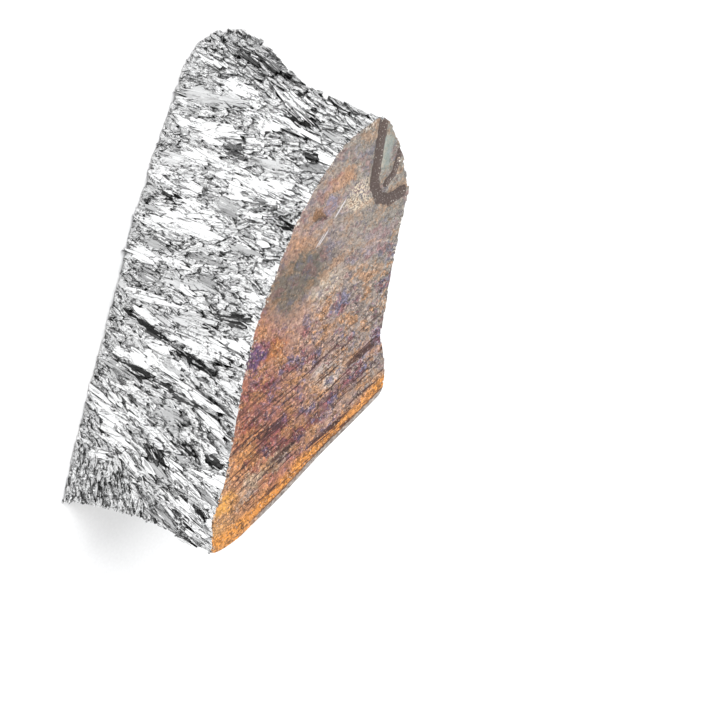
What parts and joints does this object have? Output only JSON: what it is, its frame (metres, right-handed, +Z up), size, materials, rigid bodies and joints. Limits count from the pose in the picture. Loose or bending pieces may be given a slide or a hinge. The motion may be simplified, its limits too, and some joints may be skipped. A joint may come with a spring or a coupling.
{
  "type": "bismuth metal chunk",
  "caption": "Broken corner of a cast bismuth ingot: silvery bladed crystal breaks, a tarnished free top and a flat cast base.",
  "frame": {"origin": "middle of the bounding box's footprint, on the flat mould-bottom face that the chunk rests on", "axes": "+X along the chunk towards its sharp nose, -Y out of the front break that the picture shows, +Z up from the mould bottom to the free top"},
  "size_m": [0.0982, 0.0476, 0.0372],
  "materials": {
    "broken_bismuth": null
  },
  "bodies": {
    "root": {"bismuth_chunk": "broken_bismuth"}
  },
  "joints": []
}
